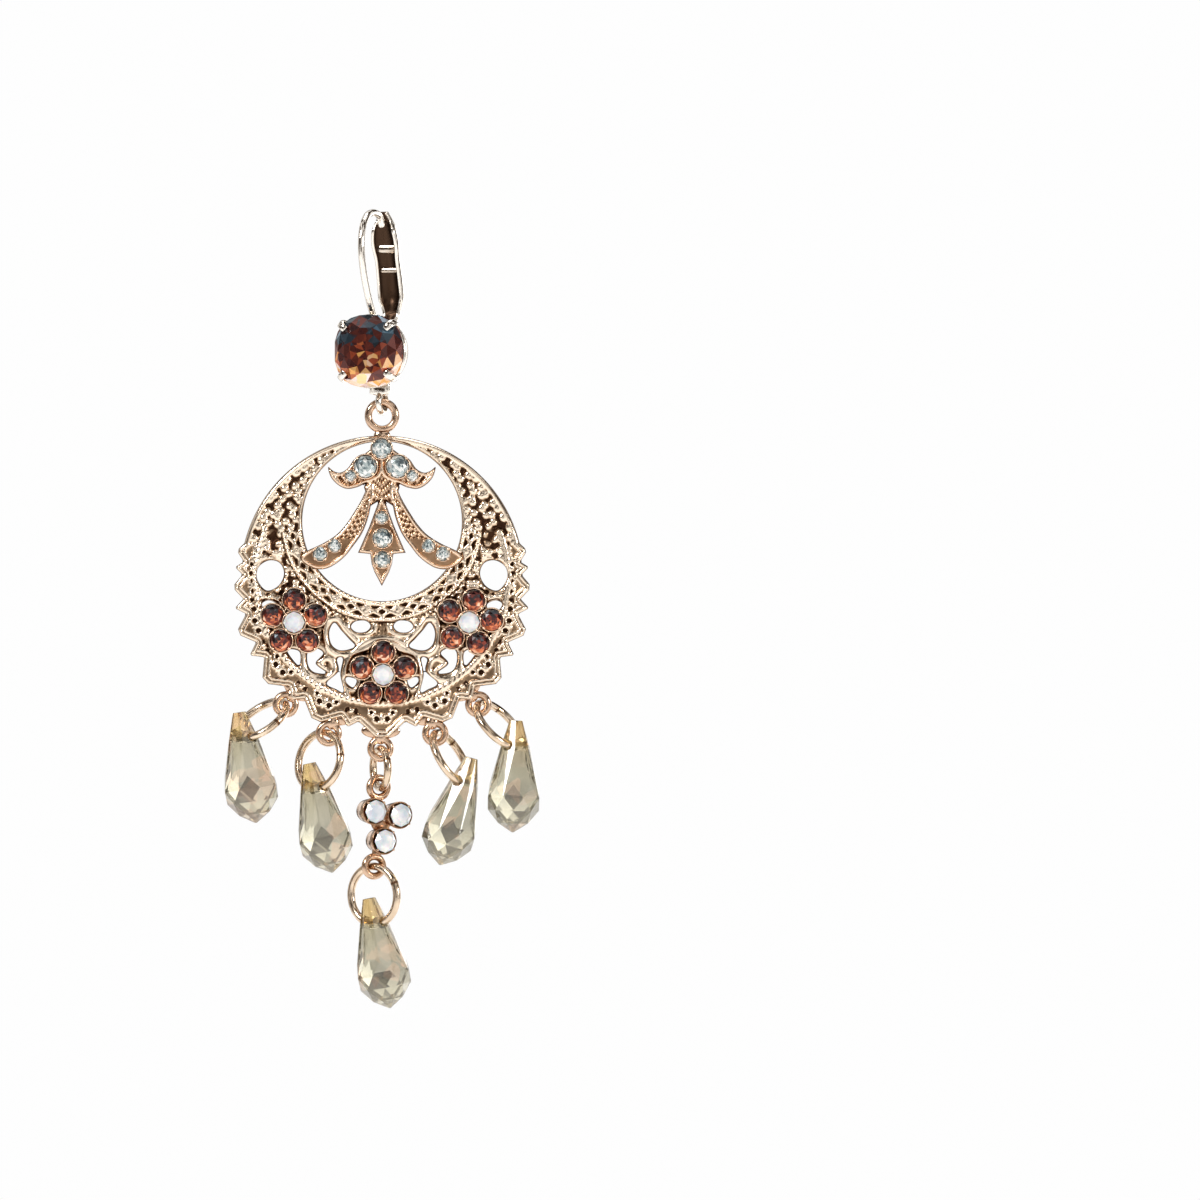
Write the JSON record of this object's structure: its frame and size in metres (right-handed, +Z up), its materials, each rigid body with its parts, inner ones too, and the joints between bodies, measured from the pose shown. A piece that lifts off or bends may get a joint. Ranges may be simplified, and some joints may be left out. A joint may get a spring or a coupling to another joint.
{
  "type": "chandelier earring",
  "caption": "Chandelier earring: leverback hook with a round stone, pierced crescent frame with palmette and stone flowers, and faceted glass drops on rings.",
  "frame": {"origin": "inner apex of the ear wire, where it sits on the ear", "axes": "+Z up, along the hanging earring; the decorated front faces -Y; +X is to the right seen from the front"},
  "size_m": [0.0368, 0.0112, 0.0936],
  "materials": {
    "hook_metal": "polished pale rose-gold plate",
    "frame_metal": "cast, rose-gold plate with dark patina in the recesses",
    "ring_metal": "drawn wire and cups, rose-gold plate",
    "burgundy_stone": "cut crystal, foil back",
    "rust_stone": "cut crystal, foil back",
    "opal_stone": "milky opal crystal",
    "clear_stone": "clear cut crystal, foil back",
    "champagne_glass": "transparent faceted glass"
  },
  "bodies": {
    "hook": {"ear_hook": "hook_metal", "cup_stone": "burgundy_stone", "hinge_pin": "hook_metal"},
    "lever": {"lever": "hook_metal"},
    "pendant": {"crescent_frame": "frame_metal", "trefoil_link": "ring_metal", "link_ring": "ring_metal", "top_stone": "clear_stone", "wing_stone_left": "clear_stone", "wing_stone_right": "clear_stone", "wing_tip_stone_left": "clear_stone", "wing_tip_stone_right": "clear_stone", "ribbon_stone_left": "clear_stone", "ribbon_stone_right": "clear_stone", "ribbon_end_stone_left": "clear_stone", "ribbon_end_stone_right": "clear_stone", "dart_stone_top": "clear_stone", "dart_stone_middle": "clear_stone", "dart_stone_bottom": "clear_stone", "flower_left_opal": "opal_stone", "flower_centre_opal": "opal_stone", "flower_right_opal": "opal_stone", "flower_left_petal_1": "rust_stone", "flower_left_petal_2": "rust_stone", "flower_left_petal_3": "rust_stone", "flower_left_petal_4": "rust_stone", "flower_left_petal_5": "rust_stone", "flower_centre_petal_1": "rust_stone", "flower_centre_petal_2": "rust_stone", "flower_centre_petal_3": "rust_stone", "flower_centre_petal_4": "rust_stone", "flower_centre_petal_5": "rust_stone", "flower_right_petal_1": "rust_stone", "flower_right_petal_2": "rust_stone", "flower_right_petal_3": "rust_stone", "flower_right_petal_4": "rust_stone", "flower_right_petal_5": "rust_stone", "trefoil_opal_left": "opal_stone", "trefoil_opal_right": "opal_stone", "trefoil_opal_bottom": "opal_stone", "jump_ring_outer_left": "ring_metal", "jump_ring_inner_left": "ring_metal", "jump_ring_inner_right": "ring_metal", "jump_ring_outer_right": "ring_metal", "jump_ring_bottom": "ring_metal", "drop_outer_left": "champagne_glass", "drop_inner_left": "champagne_glass", "drop_inner_right": "champagne_glass", "drop_outer_right": "champagne_glass", "drop_bottom": "champagne_glass"}
  },
  "joints": [
    {"name": "lever_hinge", "type": "hinge", "parent": "hook", "child": "lever", "pos_m": [0.00099, 0.00304, -0.014], "axis": [-0.9511, 0.309, 0], "range_deg": [0, 40]},
    {"name": "pendant_swing", "type": "hinge", "parent": "hook", "child": "pendant", "pos_m": [0.00062, 0.0019, -0.02165], "axis": [1, 0, 0], "range_deg": [-25, 25]}
  ]
}
